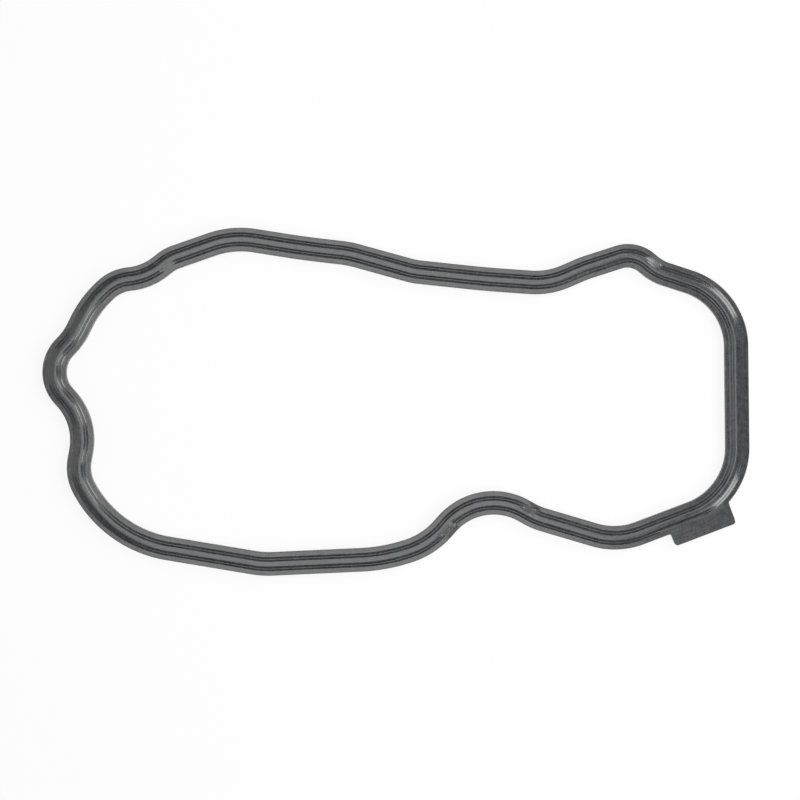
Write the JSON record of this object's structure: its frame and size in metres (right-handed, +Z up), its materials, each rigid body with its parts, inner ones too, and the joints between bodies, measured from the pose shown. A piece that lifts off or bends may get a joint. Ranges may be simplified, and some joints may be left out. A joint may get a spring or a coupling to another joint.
{
  "type": "valve cover gasket",
  "caption": "Closed, irregular band of black moulded rubber with a broad sealing bead, stepped on both sides, and a flat tab; seals a valve cover to a cylinder head.",
  "frame": {"origin": "middle of the ring's plan box, on the flat underside that rests on the cylinder head", "axes": "+X along the length of the ring, towards the end with the tab; +Z up, out of the face with the bead"},
  "size_m": [0.299, 0.1472, 0.0049],
  "materials": {
    "black_rubber": "matt moulded"
  },
  "bodies": {
    "root": {"valve_cover_gasket": "black_rubber"}
  },
  "joints": []
}
